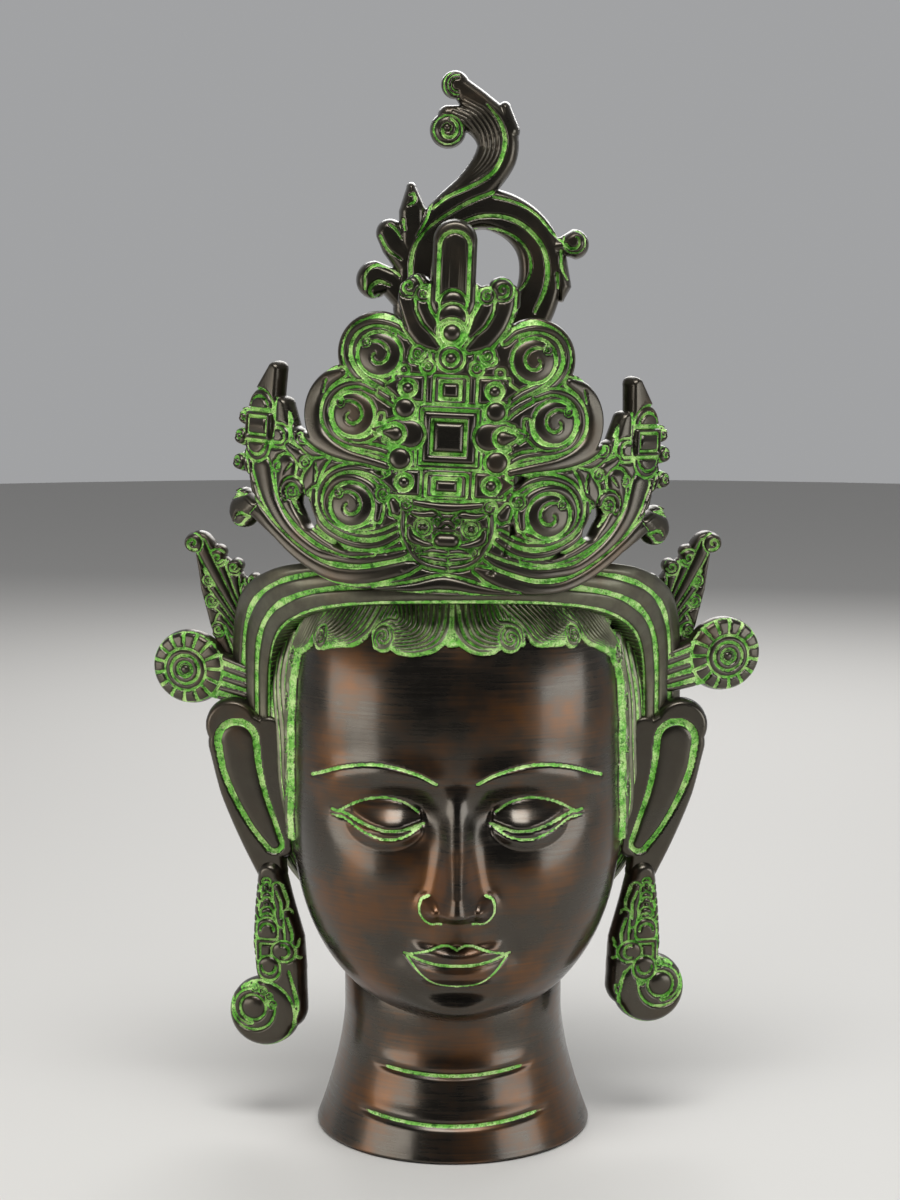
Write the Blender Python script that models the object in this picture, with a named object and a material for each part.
# Bodhisattva head with a leaf crown and a flame plume, cast as one piece of metal.
# The face looks along -Y, the neck stands on Z = 0, and the origin is the centre of its underside.
# Sizes are millimetres and MM turns them into Blender's metres.

import math

import bmesh
import bpy
import numpy as np

# The whole casting is drawn 430 high and scaled to this height, so its carving keeps its proportions
HEIGHT = 430.0
MM = 0.001 * HEIGHT / 430.0

# Neck: a flared collar that the whole casting stands on
NECK_BASE_RADIUS = 57.0
NECK_WAIST_RADIUS = 44.8
NECK_DEPTH_RATIO = 1.07
NECK_FOLD_DEPTH = 1.6

# Head: a boxy egg from under the chin to the crown of the skull
CHIN_HEIGHT = 50.0
HEAD_TOP_HEIGHT = 238.0
HEAD_HALF_WIDTH = 68.0
HEAD_FRONT_DEPTH = 63.0
HEAD_BACK_DEPTH = 60.0
HEAD_SHIFT = 1.5
HEAD_SETBACK = -3.0
HEAD_MIDDLE_HEIGHT = CHIN_HEIGHT + 0.53 * (HEAD_TOP_HEIGHT - CHIN_HEIGHT)
HAIRLINE_HEIGHT = CHIN_HEIGHT + 0.83 * (HEAD_TOP_HEIGHT - CHIN_HEIGHT)
NOSE_FORWARD = 17.0

# Hair: a fringe of curling locks, the combed mass behind the band, and the knot on top
HAIR_THICKNESS = 3.2
HAIR_OVER_HEAD = 13.0
HAIR_BACK_DEPTH = HEAD_BACK_DEPTH + 6.0
NAPE_HEIGHT = CHIN_HEIGHT + 22.0
TOPKNOT_RADIUS = 33.0
TOPKNOT_RISE = 100.0
TOPKNOT_TOP = HEAD_TOP_HEIGHT + TOPKNOT_RISE

# Band: the ribbed arch that runs from ear to ear and carries the crown
BAND_WIDTH = 16.0
BAND_INNER_HALF_WIDTH = HEAD_HALF_WIDTH + 8.0
BAND_OUTER_HALF_WIDTH = BAND_INNER_HALF_WIDTH + BAND_WIDTH
BAND_OUTER_TOP = HEAD_TOP_HEIGHT + 2.0
BAND_INNER_TOP = BAND_OUTER_TOP - BAND_WIDTH
BAND_FOOT_HEIGHT = CHIN_HEIGHT + 120.0
BAND_INNER_FORWARD = HEAD_FRONT_DEPTH - 8.0
BAND_OUTER_FORWARD = BAND_INNER_FORWARD - 9.0
BAND_BULGE = 3.0
RIB_HEIGHT = 1.7

# Crown: one curved leaf plate, set a little askew as it is on the casting
CROWN_SHIFT = -2.3
CROWN_FOOT_HEIGHT = BAND_OUTER_TOP - 5.8
CROWN_FORWARD = BAND_INNER_FORWARD + 7.0
CROWN_CURVE_RADIUS = 110.0
CROWN_LEAN_DEG = 8.0
CROWN_TILT_DEG = 2.5
CROWN_THICKNESS = 6.0
CROWN_RELIEF = 2.4

# Plume: an openwork flame scroll that stands on the topknot
PLUME_SETBACK = -8.0
PLUME_THICKNESS = 8.0
PLUME_FOOT = TOPKNOT_TOP - 8.0

# Ears, their pendants, and the leaf and wheel behind each ear
EAR_THICKNESS = 8.0
PENDANT_THICKNESS = 11.0
PENDANT_COIL_DROP = {"left": 59.0, "right": 49.0}
SIDE_LEAF_THICKNESS = 6.0
SIDE_LEAF_OUT = {"left": 2.5, "right": -0.5}
WHEEL_RADIUS = 15.4
WHEEL_THICKNESS = 7.0
WHEEL_RISE = {"left": 19.0, "right": 24.5}

# How finely the casting is drawn and how many triangles it keeps
PLATE_STEP = 1.1
VOXEL = 1.0
TRIANGLES = 9600
FOOT_EXTRA = 4.0


def smooth(low, high, value):
    """0 below low, 1 above high, and an even S between them."""
    t = np.clip((value - low) / (high - low), 0.0, 1.0)
    return t * t * (3.0 - 2.0 * t)


def signed_power(value, exponent):
    return np.sign(value) * np.abs(value) ** exponent


def bell(x, z, centre_x, centre_z, spread_x, spread_z):
    return np.exp(-(((x - centre_x) / spread_x) ** 2) - ((z - centre_z) / spread_z) ** 2)


def spline(points, per_span=7):
    """A smooth line through the points (Catmull-Rom)."""
    p = np.array(points, float)
    p = np.vstack([2 * p[0] - p[1], p, 2 * p[-1] - p[-2]])
    t = np.linspace(0.0, 1.0, per_span, endpoint=False)[:, None]
    line = []
    for a, b, c, d in zip(p, p[1:], p[2:], p[3:]):
        line.append(
            0.5 * (
                2 * b + (c - a) * t + (2 * a - 5 * b + 4 * c - d) * t**2 + (3 * b - a - 3 * c + d) * t**3
            )
        )
    return np.vstack([*line, p[-2:-1]])


def arc(centre, radius, start_deg, end_deg, end_radius=None, per_turn=28):
    """A stretch of circle, or of spiral where end_radius differs."""
    count = max(4, int(abs(end_deg - start_deg) / 360 * per_turn))
    angle = np.radians(np.linspace(start_deg, end_deg, count))
    r = np.linspace(radius, radius if end_radius is None else end_radius, count)
    return np.column_stack([centre[0] + r * np.cos(angle), centre[1] + r * np.sin(angle)])


def beside(line, offset):
    """The line moved sideways, to its left where offset is positive."""
    along = np.gradient(line, axis=0)
    along /= np.linalg.norm(along, axis=1)[:, None] + 1e-9
    return line + offset * np.column_stack([-along[:, 1], along[:, 0]])


def mirrored(line, side):
    return np.array(line, float) * (side, 1.0)


class Plate:
    """A cast plate drawn on a grid: how far inside its outline each point lies, and how high its face stands."""

    def __init__(self, low, high, step=PLATE_STEP):
        self.step = step
        self.u = np.arange(low[0], high[0] + step, step)
        self.v = np.arange(low[1], high[1] + step, step)
        self.inside = np.full((len(self.u), len(self.v)), -99.0)
        self.height = np.zeros_like(self.inside)

    def near(self, line, widths, reach):
        """The part of the grid near a stroke, with each point's distance from it and its half width there."""
        line = np.array(line, float)
        widths = np.interp(np.linspace(0, 1, len(line)), np.linspace(0, 1, len(widths)), widths)
        low, high = line.min(0) - reach, line.max(0) + reach
        window = (
            slice(*np.searchsorted(self.u, (low[0], high[0]))),
            slice(*np.searchsorted(self.v, (low[1], high[1]))),
        )
        u, v = np.meshgrid(self.u[window[0]], self.v[window[1]], indexing="ij")
        start, run = line[:-1], np.diff(line, axis=0)
        du, dv = u[..., None] - start[:, 0], v[..., None] - start[:, 1]
        t = np.clip((du * run[:, 0] + dv * run[:, 1]) / ((run**2).sum(1) + 1e-12), 0, 1)
        distance = np.hypot(du - t * run[:, 0], dv - t * run[:, 1])
        return window, distance, widths[:-1] + t * np.diff(widths)

    def fill(self, line, *widths):
        """Metal wherever the stroke passes, as wide on each side as widths says along it."""
        window, distance, half = self.near(line, widths, max(widths) + 8)
        self.inside[window] = np.maximum(self.inside[window], (half - distance).max(-1))

    def disc(self, centre, radius):
        self.fill([centre, (centre[0] + 1e-3, centre[1])], radius)

    def opening(self, start, end, half):
        """A slot cut right through, from start to end."""
        window, distance, _ = self.near([start, end], [half], half + 8)
        self.inside[window] = np.minimum(self.inside[window], distance.min(-1) - half)

    def ridge(self, line, *widths, height=1.0):
        """A rounded rib along the stroke."""
        window, distance, half = self.near(line, widths, max(widths) + self.step)
        share = np.clip((distance / half).min(-1), 0, 1)
        self.height[window] = np.maximum(self.height[window], height * np.sqrt(1 - share**2))

    def boss(self, centre, radius, height=1.0):
        self.ridge([centre, (centre[0] + 1e-3, centre[1])], radius, height=height)

    def groove(self, line, half, depth=1.0):
        window, distance, _ = self.near(line, [half], half + self.step)
        share = np.clip(distance.min(-1) / half, 0, 1)
        self.height[window] -= depth * (1 - share**2)

    def kept_cells(self):
        """The grid cells that are metal, without two that meet only at a corner."""
        s = self.inside
        kept = (s[:-1, :-1] + s[1:, :-1] + s[:-1, 1:] + s[1:, 1:]) > 0
        kept[0, :] = kept[-1, :] = False
        kept[:, 0] = kept[:, -1] = False
        for _ in range(3):
            a, b, c, d = kept[:-1, :-1], kept[1:, :-1], kept[:-1, 1:], kept[1:, 1:]
            kept[1:, :-1] |= a & d & ~b & ~c
            kept[:-1, :-1] |= b & c & ~a & ~d
        return kept

    def mesh(self, place, front, back, relief, rounding):
        """Closed skin of the plate. place turns (u, v, height off the middle plane) into x, y, z."""
        kept = self.kept_cells()
        around = np.zeros((len(self.u), len(self.v)), int)
        for i, j in ((0, 0), (1, 0), (0, 1), (1, 1)):
            around[i : i + kept.shape[0], j : j + kept.shape[1]] += kept
        used, edge = around > 0, (around > 0) & (around < 4)
        slope_u, slope_v = np.gradient(self.inside, self.step)
        steep = slope_u**2 + slope_v**2 + 1e-9
        shift = np.where(edge, np.clip(self.inside, -self.step, self.step) / steep, 0)
        limit = 0.7 * self.step
        u = self.u[:, None] - np.clip(shift * slope_u, -limit, limit)
        v = self.v[None, :] - np.clip(shift * slope_v, -limit, limit)
        round_off = np.sqrt(1 - (1 - np.clip(self.inside / rounding, 0, 1)) ** 2)
        round_off[edge] = 0
        face = round_off * (front + relief * np.clip(self.height, -1, 1.5))
        number = np.full(used.shape, -1)
        number[used] = np.arange(used.sum())
        inner = used & ~edge
        behind = number.copy()
        behind[inner] = used.sum() + np.arange(inner.sum())
        points = np.vstack(
            [
                np.column_stack(place(u[used], v[used], face[used])),
                np.column_stack(place(u[inner], v[inner], (-back * round_off)[inner])),
            ]
        )
        i, j = np.nonzero(kept)
        corners = ((i, j), (i + 1, j), (i + 1, j + 1), (i, j + 1))
        faces = np.vstack(
            [
                np.column_stack([number[c] for c in corners]),
                np.column_stack([behind[c] for c in corners[::-1]]),
            ]
        )
        return points, faces


def grid_faces(rows, columns, wrap=True):
    """Quads of a sheet of rows by columns points, joined round into a tube where wrap is set."""
    r, c = np.meshgrid(np.arange(rows - 1), np.arange(columns if wrap else columns - 1), indexing="ij")
    across = (c + 1) % columns
    return np.stack(
        [r * columns + c, r * columns + across, (r + 1) * columns + across, (r + 1) * columns + c], -1
    ).reshape(-1, 4)


def capped(points, rows, columns):
    """A closed skin from rows of rings: the tube and a fan at each end."""
    ends = points.reshape(rows, columns, 3)[[0, -1]].mean(1)
    around = np.arange(columns)
    last = (rows - 1) * columns
    bottom, top = len(points), len(points) + 1
    fans = [(bottom, (k + 1) % columns, k) for k in around]
    fans += [(top, last + k, last + (k + 1) % columns) for k in around]
    return np.vstack([points, ends]), [tuple(f) for f in grid_faces(rows, columns)] + fans


# The face is drawn on the canon of three equal parts, from hairline to brow to nose to chin, and of
# five eye widths across.
FACE_THIRD = (HAIRLINE_HEIGHT - CHIN_HEIGHT) / 3
BROW_LINE = HAIRLINE_HEIGHT - FACE_THIRD
EYE_LINE = BROW_LINE - 0.29 * FACE_THIRD
NOSE_LINE = BROW_LINE - FACE_THIRD
MOUTH_LINE = NOSE_LINE - FACE_THIRD / 3
EYE_WIDTH = 2 * HEAD_HALF_WIDTH / 5


def nose(x, z):
    along = np.clip((BROW_LINE - z) / (BROW_LINE - NOSE_LINE - 4), 0, 1.3)
    forward = NOSE_FORWARD * np.interp(
        along, (0, 0.15, 0.5, 0.86, 1.0, 1.08, 1.3), (0.0, 0.14, 0.5, 0.97, 1.0, 0.5, 0)
    )
    half = np.interp(along, (0, 0.3, 0.8, 1.0), (6.0, 5.2, 7.2, 8.0))
    bridge = forward * np.exp(-((np.abs(x) / half) ** 2.6))
    wings = 8.5 * bell(np.abs(x), z, 9.0, NOSE_LINE + 4.5, 5.0, 5.2)
    return np.maximum(bridge, wings) + 0.35 * np.minimum(bridge, wings)


def eyes(x, z):
    x = np.abs(x)
    middle = 1.02 * EYE_WIDTH
    socket = -5.5 * bell(x, z, middle, EYE_LINE + 4, 18, 9.5) - 3.5 * bell(
        x, z, 0.5 * EYE_WIDTH, EYE_LINE + 3, 7, 9
    )
    ball = 6.5 * np.clip(1 - ((x - middle) / 16.5) ** 2 - ((z - EYE_LINE) / 10.5) ** 2, 0, 1) ** 0.8
    across = (x - 0.5 * EYE_WIDTH) / EYE_WIDTH
    upper = EYE_LINE - 2.6 * np.sin(np.pi * np.clip(across, 0, 1)) + 2.0 * np.clip(across, 0, 1) ** 2
    lower = upper - 3.4 * np.sin(np.pi * np.clip(across, 0, 1))
    within = (across > 0) & (across < 1)
    lids = np.where(
        within,
        1.1 * smooth(
            0, 1.2, z - upper
        ) * smooth(8, 2, z - upper) + 0.7 * smooth(0, 1.2, lower - z) * smooth(6, 1, lower - z),
        0
    )
    return socket + ball + lids


def brows(x, z):
    x = np.abs(x)
    line = BROW_LINE + 5.5 * np.sin(
        np.pi * np.clip((x - 5) / 52, 0, 1)
    ) - 3.5 * np.clip((x - 5) / 52, 0, 1.2)
    return 2.2 * np.exp(-(((z - line) / 6) ** 2)) * smooth(2, 12, x) * smooth(62, 46, x)


def mouth(x, z):
    mound = 6.5 * bell(x, z, 0, MOUTH_LINE + 1, 20, 15)
    corner = 19.5
    share = np.clip(np.abs(x) / corner, 0, 1)
    line = MOUTH_LINE + 2.2 * share**2
    upper = 3.4 * np.clip(1 - ((z - line - 3.2) / 4.2) ** 2, 0, 1) * (1 - share**2.5)
    lower = 4.2 * np.clip(1 - ((z - line + 4.4) / 5.2) ** 2, 0, 1) * (1 - share**2.2)
    dent = -2.4 * bell(np.abs(x), z, corner + 1.5, MOUTH_LINE + 2.4, 3.5, 3.5)
    philtrum = -1.2 * bell(x, z, 0, (NOSE_LINE + MOUTH_LINE) / 2 + 2, 2.8, 6)
    return mound + upper + lower + dent + philtrum


def chin(x, z):
    ball = 15.0 * bell(x, z, 0, CHIN_HEIGHT + 11, 19, 12)
    fold = -3.0 * bell(x, z, 0, MOUTH_LINE - 12.5, 14, 4.5)
    jaw = 4.0 * bell(np.abs(x), z, 26, CHIN_HEIGHT + 18, 18, 14)
    return ball + fold + jaw


def cheeks(x, z):
    return 3.5 * bell(np.abs(x), z, 34, NOSE_LINE + 12, 20, 18)


def head_point(theta, phi, with_face=True):
    """A point of the head's skin. theta runs round from the front and phi up from the middle height."""
    s = np.sin(phi)
    rise = s > 0
    t = np.abs(s)
    width = HEAD_HALF_WIDTH * np.where(rise, (1 - t**4) ** 0.25, (1 - t**2.8) ** 0.45)
    front = HEAD_FRONT_DEPTH * np.where(rise, (1 - t**3) ** 0.385, (1 - t**6) ** 0.5)
    back = HEAD_BACK_DEPTH * (1 - t**3) ** 0.4
    z = HEAD_MIDDLE_HEIGHT + s * np.where(
        rise, HEAD_TOP_HEIGHT - HEAD_MIDDLE_HEIGHT, HEAD_MIDDLE_HEIGHT - CHIN_HEIGHT
    )
    x = width * signed_power(np.sin(theta), 0.83)
    y = HEAD_SETBACK - np.where(np.cos(theta) > 0, front, back) * signed_power(np.cos(theta), 0.83)
    if with_face:
        ahead = smooth(0.1, 0.45, np.cos(theta))
        y = y - ahead * (nose(x, z) + eyes(x, z) + brows(x, z) + mouth(x, z) + chin(x, z) + cheeks(x, z))
    return HEAD_SHIFT + x, y, z


def head_body(rows=150, columns=190):
    theta, phi = np.meshgrid(
        np.linspace(-np.pi, np.pi, columns, endpoint=False), np.linspace(-0.5, 0.5, rows) * 0.995 * np.pi
    )
    points = np.column_stack([c.ravel() for c in head_point(theta, phi)])
    return capped(points, rows, columns)


def neck_body(rows=70, columns=120):
    """The collar: flared at the foot, with two folds across the throat, and running up inside the head."""
    theta, z = np.meshgrid(
        np.linspace(-np.pi, np.pi, columns, endpoint=False),
        np.linspace(-FOOT_EXTRA, CHIN_HEIGHT + 55, rows)
    )
    drop = np.clip(1 - z / CHIN_HEIGHT, 0, 1)
    radius = NECK_WAIST_RADIUS + (NECK_BASE_RADIUS - NECK_WAIST_RADIUS) * drop**1.6
    for height, reach in ((0.28, 0.75), (0.66, 0.65)):
        fold = height * CHIN_HEIGHT - 4.0 * np.cos(theta) ** 2 + 4.0
        radius -= NECK_FOLD_DEPTH * np.exp(-(((z - fold) / 1.4) ** 2)) * smooth(
            reach + 0.15, reach - 0.15, np.abs(theta)
        )
    x = radius * np.sin(theta)
    y = -radius * NECK_DEPTH_RATIO * np.cos(theta)
    return capped(np.column_stack([x.ravel(), y.ravel(), z.ravel()]), rows, columns)


def hair_body(rows=90, columns=120):
    """The combed hair behind the band, down to the nape."""
    theta, phi = np.meshgrid(
        np.linspace(-np.pi, np.pi, columns, endpoint=False), np.linspace(-0.5, 0.5, rows) * 0.99 * np.pi
    )
    s = np.sin(phi)
    t = np.abs(s)
    middle = HEAD_MIDDLE_HEIGHT + 10
    spread = np.where(s > 0, (1 - t**3.4) ** 0.3, (1 - t**2.6) ** 0.5)
    z = middle + s * np.where(s > 0, HEAD_TOP_HEIGHT - middle, middle - NAPE_HEIGHT)
    depth = np.where(np.cos(theta) > 0, 0.55, 1.0) * HAIR_BACK_DEPTH
    locks = 2.2 * np.abs(np.sin(11 * theta)) * smooth(0.2, -0.2, np.cos(theta)) * spread
    x = HEAD_SHIFT + (HEAD_HALF_WIDTH + HAIR_OVER_HEAD + locks) * spread * np.sin(theta)
    y = 6.0 - (depth + locks) * spread * np.cos(theta)
    return capped(np.column_stack([x.ravel(), y.ravel(), z.ravel()]), rows, columns)


def topknot_body(rows=60, columns=60):
    """Hair gathered into a tall knot behind the crown, bound once at its foot."""
    theta, share = np.meshgrid(np.linspace(-np.pi, np.pi, columns, endpoint=False), np.linspace(0, 1, rows))
    foot = HEAD_TOP_HEIGHT - 25
    z = foot + (TOPKNOT_TOP - foot) * share
    outline = np.interp(
        share, (0, 0.2, 0.26, 0.34, 0.6, 0.85, 1.0), (1.0, 0.86, 0.72, 0.86, 0.8, 0.62, 0.3)
    )
    radius = TOPKNOT_RADIUS * outline * (1 + 0.03 * np.abs(np.sin(6 * theta)))
    x = HEAD_SHIFT + radius * np.sin(theta)
    y = (1 + share) * PLUME_SETBACK + 0.9 * radius * np.cos(theta)
    return capped(np.column_stack([x.ravel(), y.ravel(), z.ravel()]), rows, columns)


def arch(share, half_width, foot, top, power=4.0):
    """x and z of a boxy arch. share runs from 0 at the left foot to 1 at the right."""
    angle = np.pi * share
    x = -half_width * signed_power(np.cos(angle), 2 / power)
    return x, foot + (top - foot) * np.abs(np.sin(angle)) ** (2 / power)


BAND_RIBS = ((0.14, 0.10), (0.38, 0.10), (0.63, 0.12), (0.88, 0.11))


def band_body(rows=110, columns=34):
    """The ribbed arch: its face is ruled between an inner and an outer edge, and its back is inside the hair."""
    share, across = np.meshgrid(np.linspace(0, 1, rows), np.linspace(0, 1, columns), indexing="ij")
    in_x, in_z = arch(share, BAND_INNER_HALF_WIDTH, BAND_FOOT_HEIGHT, BAND_INNER_TOP)
    out_x, out_z = arch(share, BAND_OUTER_HALF_WIDTH, BAND_FOOT_HEIGHT, BAND_OUTER_TOP, 4.8)
    lift = np.sin(np.pi * share) ** 1.5
    in_y = -8.0 - (BAND_INNER_FORWARD - 8.0) * lift
    out_y = 6.0 - (BAND_OUTER_FORWARD + 6.0) * lift
    ribs = np.zeros_like(share)
    for middle, half in BAND_RIBS:
        ribs = np.maximum(ribs, np.sqrt(np.clip(1 - ((across - middle) / half) ** 2, 0, 1)))
    proud = BAND_BULGE * np.sin(np.pi * across) + RIB_HEIGHT * ribs
    face_x = in_x + (out_x - in_x) * across
    face_z = in_z + (out_z - in_z) * across
    face_y = in_y + (out_y - in_y) * across - 0.8 * proud
    face_z = face_z + 0.45 * proud * lift
    face = np.stack([HEAD_SHIFT + face_x, face_y, face_z], -1)
    inner = np.stack(
        [
            HEAD_SHIFT + 0.82 * face_x, face_y + 16,
            BAND_FOOT_HEIGHT - 4 + 0.84 * (face_z - BAND_FOOT_HEIGHT)
        ],
        -1
    )
    ring = np.concatenate([face, inner[:, ::-1]], axis=1)
    points = ring.reshape(-1, 3)
    return capped(points, rows, 2 * columns)


# Fringe locks, each as the curl's place from the middle of the forehead, its height above the
# hairline, its radius, and how low the lobe before it hangs
FRINGE_CURLS = ((24.0, 3.0, 4.2, -3.0), (47.0, 4.0, 3.8, -0.5), (63.0, 0.5, 3.6, 0.5))
TEMPLE_CURLS = ((84.0, -17.0, 3.4), (93.0, -36.0, 3.2), (95.0, -56.0, 3.0), (93.0, -74.0, 3.0))
SCALP_RADIUS = HEAD_HALF_WIDTH - 2.0


def on_scalp(u, v, w):
    """u runs round the head from the middle of the forehead, v is the height and w stands off the skin."""
    theta = u / SCALP_RADIUS
    s = (v - HEAD_MIDDLE_HEIGHT) / np.where(
        v > HEAD_MIDDLE_HEIGHT, HEAD_TOP_HEIGHT - HEAD_MIDDLE_HEIGHT, HEAD_MIDDLE_HEIGHT - CHIN_HEIGHT
    )
    phi = np.arcsin(np.clip(s, -0.99, 0.985))
    here = np.stack(head_point(theta, phi, False))
    east = np.stack(head_point(theta + 0.01, phi, False)) - here
    north = np.stack(head_point(theta, phi + 0.01, False)) - here
    out = np.cross(east.T, north.T).T
    out = out / (np.linalg.norm(out, axis=0) + 1e-9)
    return tuple(here + out * w)


def fringe_plate():
    """Hair between the band and the face: waved lobes that end in curls, and side locks down the temples."""
    top = HAIRLINE_HEIGHT + 25
    plate = Plate((-112, HAIRLINE_HEIGHT - 90), (112, top + 4))
    for side in (-1, 1):
        edge = [(0.0, HAIRLINE_HEIGHT + 5)]
        for u, rise, radius, sag in FRINGE_CURLS:
            edge += [(u - 12, HAIRLINE_HEIGHT + sag), (u - 4, HAIRLINE_HEIGHT + rise - radius)]
            plate.disc((side * u, HAIRLINE_HEIGHT + rise), radius)
            plate.boss((side * u, HAIRLINE_HEIGHT + rise), radius, 1.0)
        edge += [(u, HAIRLINE_HEIGHT + rise) for u, rise, _ in TEMPLE_CURLS]
        for u, rise, radius in TEMPLE_CURLS:
            plate.disc((side * (u - 1), HAIRLINE_HEIGHT + rise), radius)
            plate.boss((side * (u - 1), HAIRLINE_HEIGHT + rise), radius, 1.0)
        line = spline(mirrored(edge, side), 5)
        for lift in np.arange(0.0, 27.0, 3.0):
            plate.fill(line + (0, lift), 3.0)
            plate.fill(line + (side * 0.5 * lift, 0.35 * lift), 3.0)
        for strand in np.arange(-8.0, 60.0, 4.5):
            root = side * (0.8 * strand + 8)
            tip = side * (strand + 16)
            plate.ridge(
                spline(
                    [
                        (root, top), (root + side * 2, top - 9), (tip, HAIRLINE_HEIGHT + 6),
                        (tip + side * 5, HAIRLINE_HEIGHT + 3)
                    ],
                    5
                ),
                1.6, height=0.7
            )
    plate.inside[:, plate.v > top] = -9
    return plate.mesh(on_scalp, HAIR_THICKNESS, 4.0, 1.2, 2.0)


# Crown scrolls, each as its centre, radius and root on the right-hand half of the plate
SCROLLS = (
    ((30.3, 84.8), 11.0, (17.0, 63.0)),
    ((39.2, 60.7), 11.6, (21.0, 42.5)),
    ((36.5, 27.7), 12.4, (14.0, 12.0)),
)
WING_OUTER = ((6, 3), (24, -1), (44, 0), (61, 8.5), (75, 21), (82, 38), (81, 50))
WING_INNER = ((15, 8), (37, 5.5), (53, 11.5), (64, 22), (69, 38))
WING_MIDDLE = ((20, 3), (45, 3), (61, 12), (72, 24), (76, 40))
CURL_ARM = ((58, 6.5), (73, 15), (85, 22), (91, 25.5))
SIDE_JEWEL = ((80.5, 40), (81, 54), (79.0, 63), (74.6, 76))
CURL_CENTRE = (90.8, 19.4)
SIDE_BUMPS = ((89.5, 56.5), (91.6, 48.5), (92.0, 38.5))
SLOT = ((54.6, 19.0), (58.4, 26.0), 2.3)
GEM_LINE = -1.5
TABLET = ((-2.4, 100.0), (-2.5, 128.5), 8.6)
MASK_CENTRE = (-0.7, 17.5)


def scroll_line(centre, radius, root, turns=1.1):
    """Stem from the root, under the scroll, up its outer side and over, winding in."""
    touch = arc(centre, radius, -100, -100 + 360 * turns, 0.62 * radius)
    mid = (0.45 * root[0] + 0.55 * touch[0][0], min(root[1], touch[0][1]) - 0.6)
    return np.vstack([spline([root, mid, touch[0]], 6)[:-1], touch])


def crown_outline(plate):
    plate.fill([(GEM_LINE, 20), (GEM_LINE, 70), (GEM_LINE, 98)], 25, 27, 17)
    plate.fill(TABLET[:2], TABLET[2])
    for side in (-1, 1):
        for (centre, radius, root), margin in zip(SCROLLS, (4.9, 8.7, 2.5)):
            plate.fill(mirrored([centre, centre + np.array((0.3, -0.4))], side), radius + margin)
            plate.fill(mirrored(scroll_line(centre, radius, root), side), 2.4)
        plate.fill(mirrored([(14, 96), (18.5, 106), (19, 109)], side), 6, 5, 4.4)
        plate.disc(mirrored((11, 107.5), side), 5.0)
        plate.fill(spline(mirrored(WING_OUTER, side)), 3, 4.0, 4.3, 4.4, 4.6, 5.5)
        plate.fill(spline(mirrored(WING_INNER, side)), 3, 4, 4, 4.5)
        plate.fill(mirrored([(30, 12), (47, 26), (64, 37), (66, 46)], side), 9, 9, 9, 9)
        plate.fill(spline(mirrored(WING_MIDDLE, side)), 4, 5, 6, 8, 8)
        plate.fill(mirrored([(22, 45), (46, 44), (60, 49)], side), 5, 6, 4)
        plate.fill(mirrored([(50, 12), (56, 34), (72, 42)], side), 7, 7, 7)
        plate.fill(spline(mirrored(CURL_ARM, side)), 2.5, 3.2, 3.4, 3)
        plate.disc(mirrored(CURL_CENTRE, side), 6.8)
        plate.fill(spline(mirrored(SIDE_JEWEL, side)), 8.5, 8.0, 7.3, 3.2)
        plate.fill(mirrored([(68, 50), (70.5, 62)], side), 6.2, 3.8)
        for bump in SIDE_BUMPS:
            plate.disc(mirrored(bump, side), 4.0)
        start, end, half = SLOT
        plate.opening(*mirrored([start, end], side), half)


def crown_scrolls(plate, side):
    for centre, radius, root in SCROLLS:
        line = mirrored(scroll_line(centre, radius, root), side)
        plate.ridge(line, 1.3, 1.7, 1.6, 1.2)
        plate.ridge(beside(line, -3.4 * side), 0.8, 1.1, 1.1, 0.8, height=0.8)
        plate.boss(mirrored(centre, side), 0.52 * radius, 1.15)
    upper, middle = SCROLLS[0][0], SCROLLS[1][0]
    plate.ridge(mirrored(arc(upper, 14.6, -10, 125), side), 2.2, 3.2, 2.6, height=1.1)
    plate.ridge(mirrored(arc(middle, 17.0, -40, 75), side), 2.5, 4.4, 3.4, height=1.1)


def crown_wings(plate, side):
    plate.ridge(spline(mirrored(WING_OUTER, side)), 1.5, 3.4, 3.8, 3.8, 3.0, 2.2, height=1.2)
    plate.ridge(spline(mirrored(WING_INNER, side)), 1.5, 2.6, 2.8, 2.8, 2.0, height=1.1)
    plate.ridge(spline(mirrored(CURL_ARM, side)), 1.0, 3.0, 3.4, 3.0, height=1.1)
    plate.ridge(mirrored(arc(CURL_CENTRE, 6.0, 100, -230, 2.0), side), 2.2, 2.6, 1.8, height=1.2)
    for offset in (0.0, 3.0, 6.0):
        plate.ridge(
            mirrored(arc(SCROLLS[2][0], 16.0 + offset, -125, -25 + 3 * offset), side), 0.9, 1.3, 1.0,
            height=0.9
        )
    for centre, radius in (
        ((80.6, 45), 5.2), ((80.8, 63.5), 5.4), ((80.8, 54), 5.6), ((68.5, 51), 4.4), ((69.5, 62), 3.4)
    ):
        plate.boss(mirrored(centre, side), radius, 1.5)
    plate.ridge(mirrored([(78.5, 67), (75, 76)], side), 4.4, 2.2, height=1.3)
    for bump in SIDE_BUMPS:
        plate.boss(mirrored(bump, side), 3.2, 1.1)


def square_gem(plate, centre, half, height):
    corners = [
        (centre[0] + a * half[0], centre[1] + b * half[1]) for a,
        b in ((-1, -1), (1, -1), (1, 1), (-1, 1), (-1, -1))
    ]
    plate.ridge(corners, 1.2, height=height)
    plate.boss(centre, 0.62 * min(half), height)


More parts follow.
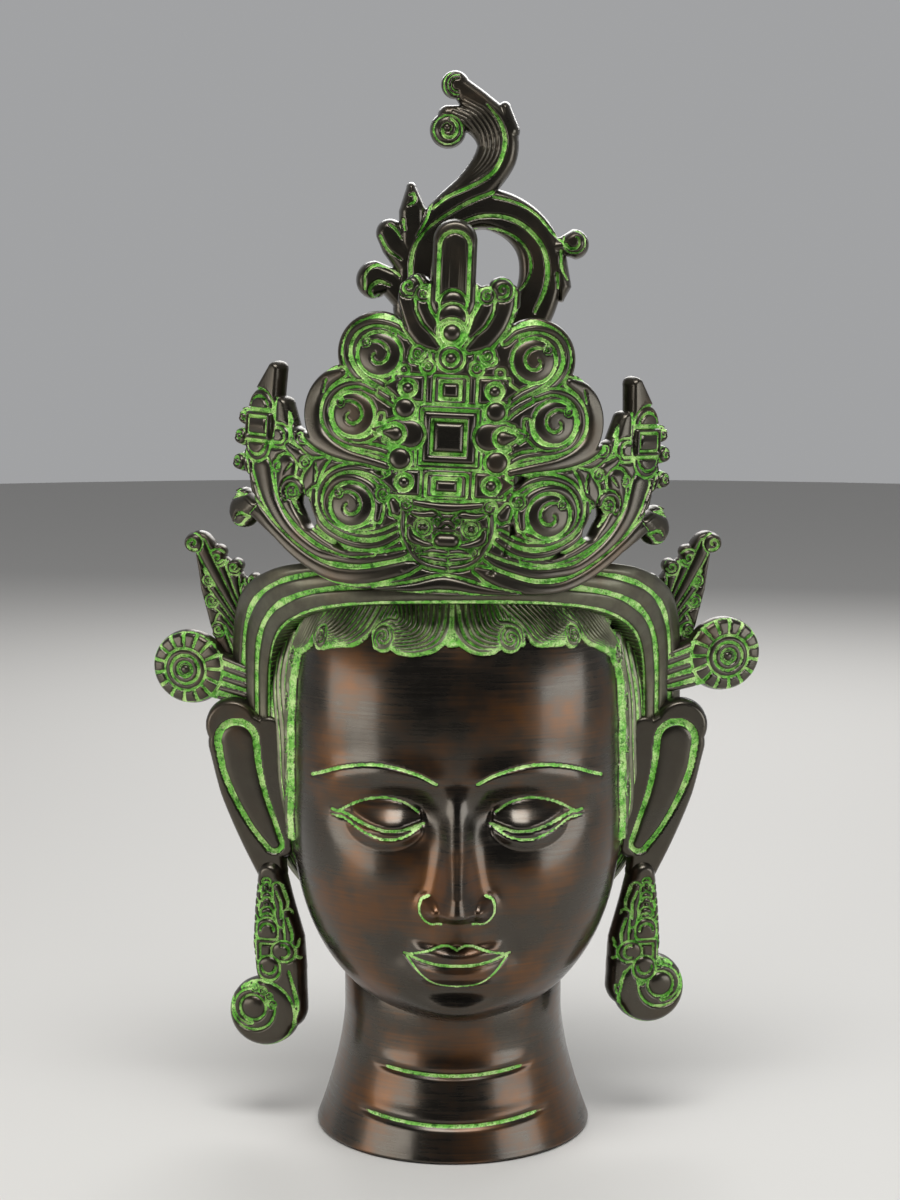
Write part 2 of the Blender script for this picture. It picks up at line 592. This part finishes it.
def crown_gems(plate):
    square_gem(plate, (GEM_LINE, 54.0), (10.5, 10.5), 1.3)
    square_gem(plate, (GEM_LINE, 72.0), (4.8, 4.0), 1.1)
    square_gem(plate, (GEM_LINE, 35.6), (6.4, 3.9), 1.1)
    for side in (-1, 1):
        for u, v, radius in (
            (15.3, 64.6, 3.2), (15.6, 45.2, 3.6), (19.0, 55.2, 4.2), (12.8, 72.0, 3.4), (14.6, 36.0, 3.6),
            (9.6, 81.0, 2.6)
        ):
            plate.boss((GEM_LINE + side * u, v), radius, 1.15)
        plate.ridge(
            spline([(GEM_LINE + side * 4, 92), (GEM_LINE + side * 12, 101), (GEM_LINE + side * 18, 109)]),
            1.8, 2.6, 2.2, height=1.1
        )
    plate.boss((GEM_LINE, 84.0), 3.6, 1.2)
    plate.boss((GEM_LINE - 0.6, 93.6), 5.0, 1.3)
    start, end, half = TABLET
    rim = np.vstack(
        [
            [(start[0] + half - 1.6, start[1])], arc(end, half - 1.6, 0, 180),
            [(start[0] - half + 1.6, start[1])]
        ]
    )
    plate.ridge(rim, 1.5, height=1.2)
    plate.ridge([(start[0], start[1] + 6), end], 4.4, height=1.0)


def crown_mask(plate):
    """The lion mask at the foot: a ringed jaw, round eyes, a broad nose and a grin."""
    cu, cv = MASK_CENTRE
    plate.ridge(arc((cu, cv + 3), 16.2, -185, 5), 1.6, height=1.2)
    plate.ridge(spline([(cu - 15, cv + 10), (cu, cv + 9), (cu + 15, cv + 10)]), 2.0, 2.4, 2.0, height=1.1)
    for side in (-1, 1):
        plate.boss((cu + side * 8.0, cv + 3.6), 3.6, 1.5)
        plate.ridge(
            spline([(cu + side * 3, cv + 6.5), (cu + side * 9, cv + 8.6), (cu + side * 15, cv + 6.5)]), 1.0,
            1.4, 1.0
        )
        plate.ridge(
            arc((cu + side * 10, cv - 3.0), 3.4, 90 - 90 * side, 90 + 200 * side, 1.2), 1.3, 1.6, 1.2,
            height=1.2
        )
    plate.boss((cu, cv - 2.4), 3.8, 1.6)
    plate.ridge(spline([(cu - 8, cv - 6.5), (cu, cv - 9.0), (cu + 8, cv - 6.5)]), 1.4, height=1.1)


def on_crown(u, v, w):
    """The crown's plate: bent round behind at the sides, leaning back, and turned a little out of upright."""
    turn = u / CROWN_CURVE_RADIUS
    x = (CROWN_CURVE_RADIUS + w) * np.sin(turn)
    y = CROWN_CURVE_RADIUS * (1 - np.cos(turn)) - w * np.cos(turn) + v * math.tan(
        math.radians(CROWN_LEAN_DEG)
    ) - CROWN_FORWARD
    tilt = math.radians(CROWN_TILT_DEG)
    return (
        CROWN_SHIFT + x * math.cos(tilt) + v * math.sin(tilt),
        y,
        CROWN_FOOT_HEIGHT - x * math.sin(tilt) + v * math.cos(tilt),
    )


def crown_plate():
    plate = Plate((-106, -9), (106, 141))
    crown_outline(plate)
    crown_gems(plate)
    crown_mask(plate)
    for side in (-1, 1):
        crown_scrolls(plate, side)
        crown_wings(plate, side)
    return plate.mesh(on_crown, CROWN_THICKNESS / 2, CROWN_THICKNESS / 2, CROWN_RELIEF, 2.2)


def crown_foot(rows=24, columns=60):
    """The web of metal that joins the crown's foot to the band and the skull behind it."""
    u, share = np.meshgrid(np.linspace(-46, 46, columns), np.linspace(0, 1, rows), indexing="ij")
    front = np.stack(on_crown(u, 1.0 + 9 * share, 0 * u - 1), -1)
    rear = front * (0.86, 1, 1) + np.stack([0 * u, 26 - 4 * share, -14 + 12 * share], -1)
    ring = np.concatenate([front, rear[:, ::-1]], axis=1)
    return capped(ring.reshape(-1, 3), columns, 2 * rows)


# Plume strokes, as x and height above the plume's foot
FLAME = ((-19, 8), (-16, 28), (-5, 43), (8.5, 54), (17, 66), (17, 76.5), (10.5, 85), (3.5, 92.5))
RING = (
    (-13, 14), (-11, 30), (-1, 40.5), (12, 45.5), (25, 41), (33.5, 31), (34.8, 17), (29.5, 2), (18, -10)
)
PLUME_CURL = (-2.0, 76.2)
FLAME_CURL = ((15, 66), (12, 75), (5, 81), (-2, 82))
LEFT_LEAVES = (
    ((-16, 32), (-16, 45), (-16.5, 54)), ((-18, 24), (-23, 31), (-25, 36)),
    ((-18, 9), (-25, 17), (-31, 17.5))
)


def plume_plate():
    plate = Plate((-46, -16), (60, 104))
    flame, ring, curl = spline(FLAME), spline(RING), spline(FLAME_CURL)
    plate.fill(flame, 5, 5, 6, 7.5, 8.3, 8, 6.3, 4.4)
    plate.fill(ring, 6, 7, 7.5, 8.2, 8.5, 8.8, 8.8, 8.8, 9)
    plate.fill(curl, 4, 4.5, 4)
    plate.disc(PLUME_CURL, 7.2)
    plate.disc((0.9, 93.8), 5.6)
    plate.fill([(22, 76), (20.5, 85)], 4.5, 2.4)
    plate.fill([(37, 30), (43, 31), (48.0, 31.5)], 3, 3.5, 6.0)
    plate.fill([(41, 26), (43.5, 15), (43.0, 10)], 4.2, 3.6, 1.4)
    for leaf, tip in zip(LEFT_LEAVES, (2.0, 5.6, 7.6)):
        plate.fill(leaf, 5.5, 5.5, tip)
    plate.fill([(-18, 6), (-4, -8), (20, -10)], 6, 9, 9)
    for offset, height in ((-5.0, 1.1), (-1.2, 0.9), (1.8, 0.9), (4.8, 0.9)):
        plate.ridge(beside(flame, -0.8 * offset), 1.0, 1.3, 2.0, 2.2, 1.7, 1.3, height=height)
    for offset in (-4.2, 0.0, 4.2):
        plate.ridge(beside(ring, offset), 1.4, 1.9, 2.0, 2.1, 2.0)
    plate.ridge(arc(PLUME_CURL, 5.0, 70, 330, 1.6), 1.3, 1.4, 1.2)
    plate.ridge(arc((0.8, 94.3), 3.6, -60, 180, 1.6), 1.5, 1.6, 1.3)
    plate.ridge(arc((48.0, 31.5), 4.2, -150, 120, 1.2), 1.2, 1.4, 1.1)
    plate.ridge(arc((-30.8, 17.4), 5.6, 60, 330, 1.8), 1.6, 1.8, 1.4)
    for leaf in LEFT_LEAVES:
        plate.ridge(leaf, 2.4, 2.8, 1.2, height=0.9)

    def place(u, v, w):
        return u, PLUME_SETBACK - w, PLUME_FOOT + v

    return plate.mesh(place, PLUME_THICKNESS / 2, PLUME_THICKNESS / 2, 1.7, 3.0)


# The side pieces are drawn as seen from the front, on the right: u is measured outward from the side
# of the head and v upward from the foot of the band.
EAR_LINE = ((19.4, -10.5), (16.8, -29), (12.0, -48), (7.5, -64))
EAR_WIDTHS = (14.2, 12.2, 9.3, 6.2)
PENDANT_TOP = EAR_LINE[-1]
LEAF_STEM = ((12, 22), (19, 40), (26, 55), (33, 67.5))
LEAF_TIP = ((29, 62), (33.5, 70), (37, 70))
LEAF_CURLS = ((26.5, 66.5), (19.5, 61.0), (12.0, 55.0), (31.0, 55.5), (29.5, 44.5), (27.0, 33.5))
WHEEL_OUT = 41.5


def beside_head(side, hinge, front, slope):
    """Places a side piece on its side of the head, turned back a little round its hinge."""
    facing = math.hypot(1, slope)

    def place(u, v, w):
        x = HEAD_SHIFT + side * (HEAD_HALF_WIDTH + u + w * slope / facing)
        return x, front + (u - hinge) * slope - w / facing, BAND_FOOT_HEIGHT + v

    return place


def ear_plate(side):
    """The long ear: a raised rim round a smooth hollow panel, narrowing to the pierced lobe."""
    plate = Plate((-10, -78), (40, 8))
    plate.fill(spline(EAR_LINE), *EAR_WIDTHS)
    plate.disc((26.5, -4.5), 8.0)
    plate.fill([(8, -5), (5, -30), (3, -52)], 7, 8, 6)
    rim = np.abs(plate.inside - 2.6) / 2.6
    plate.height = np.maximum(
        1.5 * np.sqrt(np.clip(1 - rim**2, 0, 1)), 0.75 * smooth(5.6, 9.0, plate.inside)
    )
    return plate.mesh(beside_head(side, 8, -4, 0.12), EAR_THICKNESS / 2, EAR_THICKNESS / 2, 2.0, 2.4)


def pendant_plate(side, drop):
    """The earring that hangs from the lobe: a stack of petals and set stones, and a coil at its end."""
    top_u, top_v = PENDANT_TOP
    plate = Plate((top_u - 26, top_v - drop - 22), (top_u + 30, top_v + 8))
    coil = (top_u + 3.5, top_v - drop)
    plate.fill(
        spline(
            [(top_u, top_v), (top_u - 1, top_v - 14), (top_u - 2.5, top_v - 28), (top_u - 3.5, top_v - 40)]
        ),
        5.5, 8, 10.4, 10.2
    )
    plate.fill([(top_u - 4, top_v - 38), (top_u - 4.5, coil[1] + 2)], 9.5, 9.5)
    plate.disc(coil, 14.6)
    plate.ridge(arc(coil, 12.0, 140, -300, 6.0), 2.0, 2.4, 2.2, 2.0, height=1.3)
    plate.boss(coil, 4.6, 1.4)
    plate.ridge(
        [(coil[0] - 13, top_v - 44), (coil[0] - 13, coil[1] - 2), (coil[0] - 7, coil[1] - 11)], 2.6, 3.0,
        2.0, height=1.1
    )
    for du, dv, radius in (
        (1, 5, 3.4), (0, 12, 4.4), (0.5, 20, 5.0), (0.5, 40, 4.6), (-9, 22, 3.8), (-10, 31, 3.6),
        (8, 26, 2.8)
    ):
        plate.boss((top_u + du, top_v - dv), radius, 1.3)
    square_gem(plate, (top_u, top_v - 30.5), (4.6, 4.2), 1.3)
    return plate.mesh(
        beside_head(side, 8, -5, 0.25), PENDANT_THICKNESS / 2, PENDANT_THICKNESS / 2, 2.0, 3.4
    )


def side_leaf_plate(side, out):
    """The upright leaf behind the band, ribbed, with curls along both edges and a hooked tip."""
    plate = Plate((-6, 6), (54, 90))
    stem = spline(np.add(LEAF_STEM, (out, 0)))
    plate.fill(stem, 13, 12.5, 9.5, 4)
    plate.fill(spline(np.add(LEAF_TIP, (out, 0))), 5, 4.6, 4.4)
    plate.fill([(6, 26), (9, 47)], 8, 8)
    for bump in np.add(LEAF_CURLS, (out, 0)):
        plate.disc(bump, 3.2)
        plate.boss(bump, 2.8, 1.2)
    plate.boss(np.add(LEAF_TIP[-1], (out, 0)), 3.4, 1.2)
    for offset in (-7.5, -4.0, -0.5, 3.0, 6.5):
        plate.ridge(beside(stem, offset), 1.5, 1.5, 0.8)
    return plate.mesh(
        beside_head(side, 12, 8, 0.20), SIDE_LEAF_THICKNESS / 2, SIDE_LEAF_THICKNESS / 2, 1.6, 2.2
    )


def wheel_plate(side, rise):
    """The rosette beside the ear, petals round a hub, on a short stem."""
    centre = np.array((WHEEL_OUT, rise))
    plate = Plate((WHEEL_OUT - WHEEL_RADIUS - 16, rise - WHEEL_RADIUS - 3), centre + WHEEL_RADIUS + 4)
    plate.disc(centre, WHEEL_RADIUS)
    plate.fill([(BAND_WIDTH + 3, rise - 6), centre], 9, 11)
    for petal in range(14):
        way = np.array((math.cos(math.tau * petal / 14), math.sin(math.tau * petal / 14)))
        plate.ridge([centre + way * WHEEL_RADIUS * 0.68, centre + way * WHEEL_RADIUS * 0.88], 1.6, 2.2)
    plate.ridge(arc(centre, WHEEL_RADIUS * 0.5, 0, 360), 1.2)
    plate.boss(centre, WHEEL_RADIUS * 0.22, 1.2)
    return plate.mesh(beside_head(side, 24, 4, 0.35), WHEEL_THICKNESS / 2, WHEEL_THICKNESS / 2, 1.6, 2.4)


def add_object(name, points, faces):
    mesh = bpy.data.meshes.new(name)
    mesh.from_pydata(
        [tuple(p) for p in np.asarray(points) * MM], [], [tuple(int(k) for k in f) for f in faces]
    )
    mesh.update()
    obj = bpy.data.objects.new(name, mesh)
    bpy.context.scene.collection.objects.link(obj)
    return obj


def outward(mesh):
    """Turns a closed skin's faces out where they point in."""
    work = bmesh.new()
    work.from_mesh(mesh)
    bmesh.ops.recalc_face_normals(work, faces=work.faces)
    work.to_mesh(mesh)
    work.free()


def evaluated_mesh(obj):
    graph = bpy.context.evaluated_depsgraph_get()
    return bpy.data.meshes.new_from_object(obj.evaluated_get(graph))


def bronze():
    material = bpy.data.materials.new("dark_patinated_brass")
    material.use_nodes = True
    shader = material.node_tree.nodes["Principled BSDF"]
    shader.inputs["Base Color"].default_value = (0.030, 0.020, 0.014, 1.0)
    shader.inputs["Metallic"].default_value = 0.85
    shader.inputs["Roughness"].default_value = 0.34
    return material


def bodies():
    yield head_body()
    yield neck_body()
    yield hair_body()
    yield topknot_body()
    yield band_body()
    yield fringe_plate()
    yield crown_plate()
    yield crown_foot()
    yield plume_plate()
    for name, side in (("left", -1), ("right", 1)):
        yield ear_plate(side)
        yield pendant_plate(side, PENDANT_COIL_DROP[name])
        yield side_leaf_plate(side, SIDE_LEAF_OUT[name])
        yield wheel_plate(side, WHEEL_RISE[name])


def cast():
    """Fuses every form into one skin, thins its triangles and cuts the foot flat."""
    points, faces, count = [], [], 0
    for body_points, body_faces in bodies():
        points.append(body_points)
        faces += [tuple(int(k) + count for k in f) for f in body_faces]
        count += len(body_points)
    rough = add_object("rough_casting", np.vstack(points), faces)
    outward(rough.data)
    fuse = rough.modifiers.new("fuse", "REMESH")
    fuse.mode = "VOXEL"
    fuse.voxel_size = VOXEL * MM
    fused = evaluated_mesh(rough)
    bpy.data.objects.remove(rough)

    head = bpy.data.objects.new("bodhisattva_head", fused)
    bpy.context.scene.collection.objects.link(head)
    thin = head.modifiers.new("thin", "DECIMATE")
    thin.ratio = min(1.0, TRIANGLES / (2 * len(fused.polygons)))
    thin.use_collapse_triangulate = True
    head.data = evaluated_mesh(head)
    head.modifiers.clear()

    size = 4 * NECK_BASE_RADIUS
    floor = [
        (x, y, z) for z in (-size, 0.0) for x,
        y in ((-size, -size), (size, -size), (size, size), (-size, size))
    ]
    sides = [(0, 3, 2, 1), (4, 5, 6, 7), (0, 1, 5, 4), (1, 2, 6, 5), (2, 3, 7, 6), (3, 0, 4, 7)]
    cutter = add_object("foot_cutter", floor, sides)
    cutter.hide_render = True
    cutter.display_type = "WIRE"
    cut = head.modifiers.new("flat_foot", "BOOLEAN")
    cut.operation = "DIFFERENCE"
    cut.object = cutter
    head.data.materials.append(bronze())
    return head


for leftover in list(bpy.data.objects):
    bpy.data.objects.remove(leftover)
cast()
